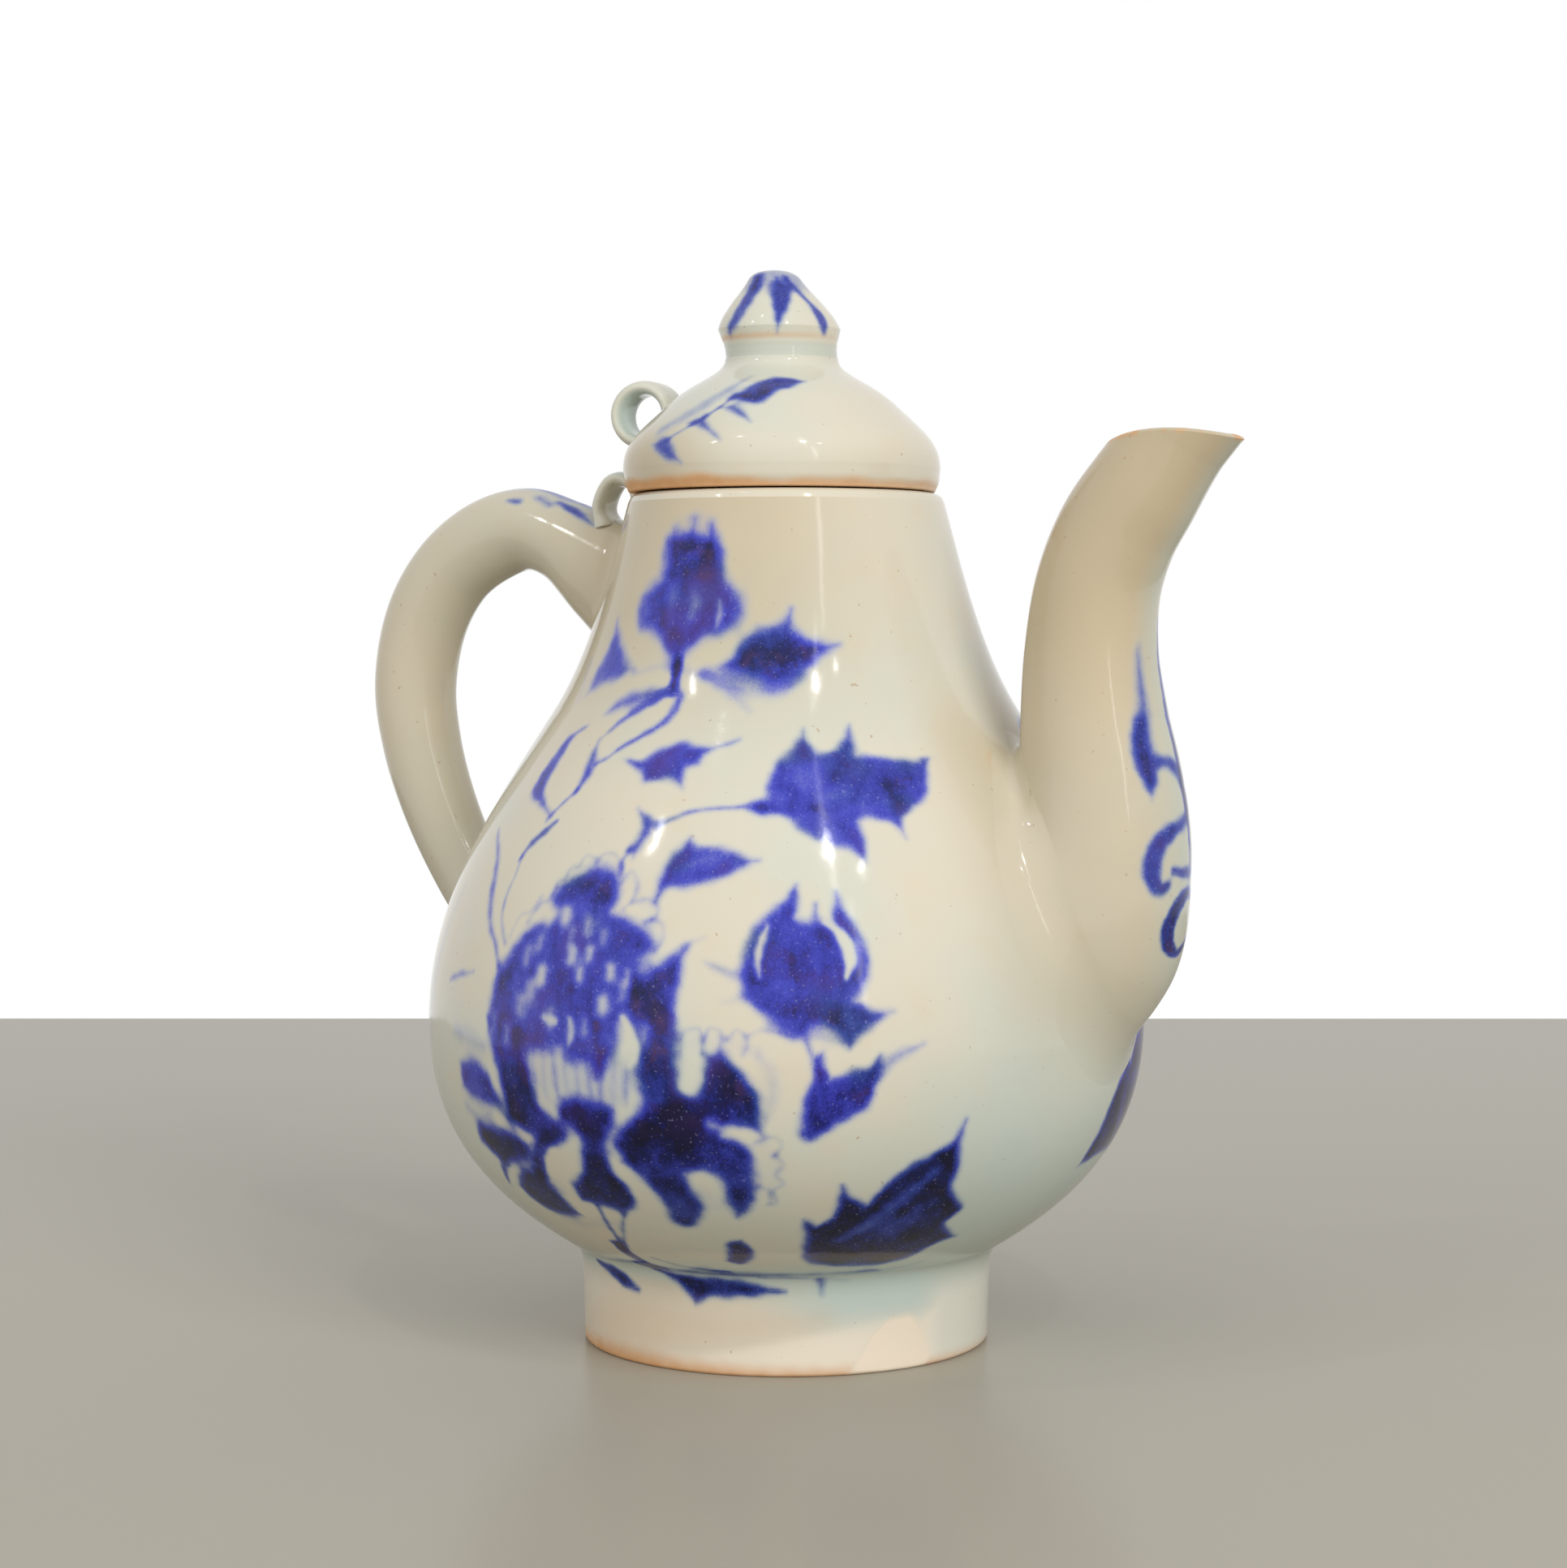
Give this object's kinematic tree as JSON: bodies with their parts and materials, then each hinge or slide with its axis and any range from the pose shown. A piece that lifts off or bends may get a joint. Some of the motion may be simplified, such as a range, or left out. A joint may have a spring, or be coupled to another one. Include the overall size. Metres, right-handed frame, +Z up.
{
  "type": "teapot",
  "caption": "Pear-shaped porcelain teapot with a curved spout, loop handle, ring foot and lift-off bell-shaped lid with a bud knob.",
  "frame": {"origin": "on the table under the middle of the teapot's overall box, 1.5 mm from the pot's own axis", "axes": "+X toward the spout, -X toward the handle, +Z up"},
  "size_m": [0.1664, 0.1204, 0.1797],
  "materials": {
    "body_glaze": "glossy warm off-white glaze over cobalt-blue painting",
    "foot_glaze": "glossy glaze with peach flashes, bare at the contact face",
    "spout_glaze": "glossy warm off-white glaze, worn brown at the lip",
    "handle_glaze": "glossy warm off-white glaze",
    "loop_glaze": "glossy glaze, pooled blue-green in the hollow",
    "lid_glaze": "glossy glaze over cobalt-blue painting, bare brown lower edge",
    "knob_glaze": "glossy glaze over cobalt-blue painting",
    "bare_porcelain": "unglazed porcelain burnt orange-brown"
  },
  "bodies": {
    "pot": {"body": "body_glaze", "foot_ring": "foot_glaze", "spout": "spout_glaze", "handle": "handle_glaze", "neck_loop": "loop_glaze"},
    "lid": {"lid": "lid_glaze", "lid_flange": "bare_porcelain", "knob": "knob_glaze", "lid_loop": "loop_glaze"}
  },
  "joints": [
    {"name": "lid_lift", "type": "slide", "parent": "pot", "child": "lid", "axis": [0, 0, 1], "range_m": [0, 0.04]}
  ]
}
